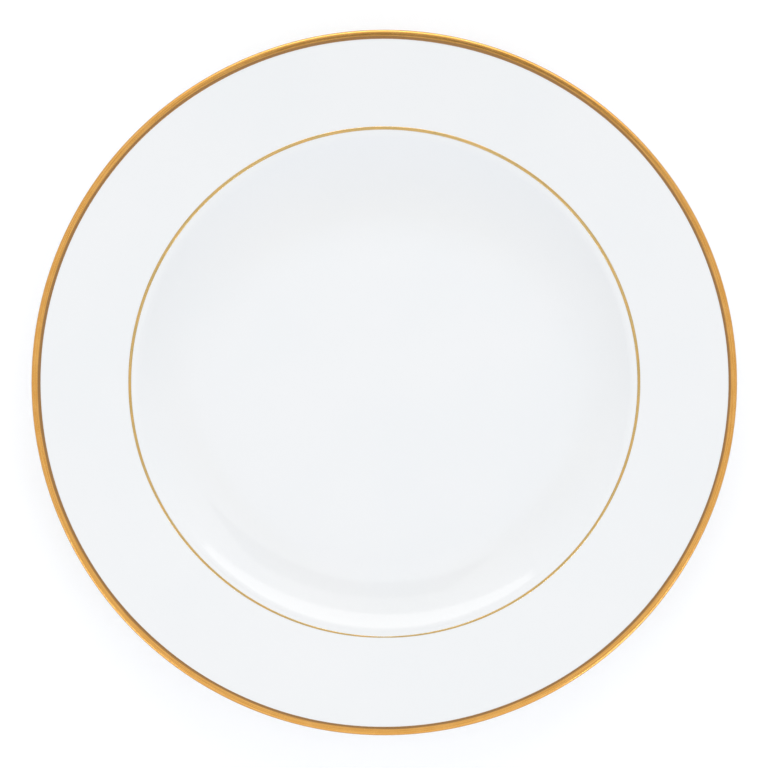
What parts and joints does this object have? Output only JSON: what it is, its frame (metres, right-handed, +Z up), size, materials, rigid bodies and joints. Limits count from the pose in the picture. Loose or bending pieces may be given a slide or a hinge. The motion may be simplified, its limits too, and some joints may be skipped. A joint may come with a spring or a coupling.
{
  "type": "dinner plate",
  "caption": "Round glazed white china dinner plate with a shallow well, a broad sloping rim, a gold lip band, a fine gold shoulder line and an unglazed foot ring; serves and holds food.",
  "frame": {"origin": "centre of the circle that the foot ring stands on, which is the bottom centre of the plate's box", "axes": "+Z up, along the axis that the plate is turned about, out of the eating surface; X and Y lie in the table"},
  "size_m": [0.27, 0.27, 0.023],
  "materials": {
    "biscuit_porcelain": "matte",
    "clear_white_glaze": "gloss",
    "burnished_gold": "polished"
  },
  "bodies": {
    "root": {"porcelain_body": "biscuit_porcelain", "glaze_coat": "clear_white_glaze", "foot_recess_glaze": "clear_white_glaze", "gold_rim_band": "burnished_gold", "gold_shoulder_line": "burnished_gold"}
  },
  "joints": []
}
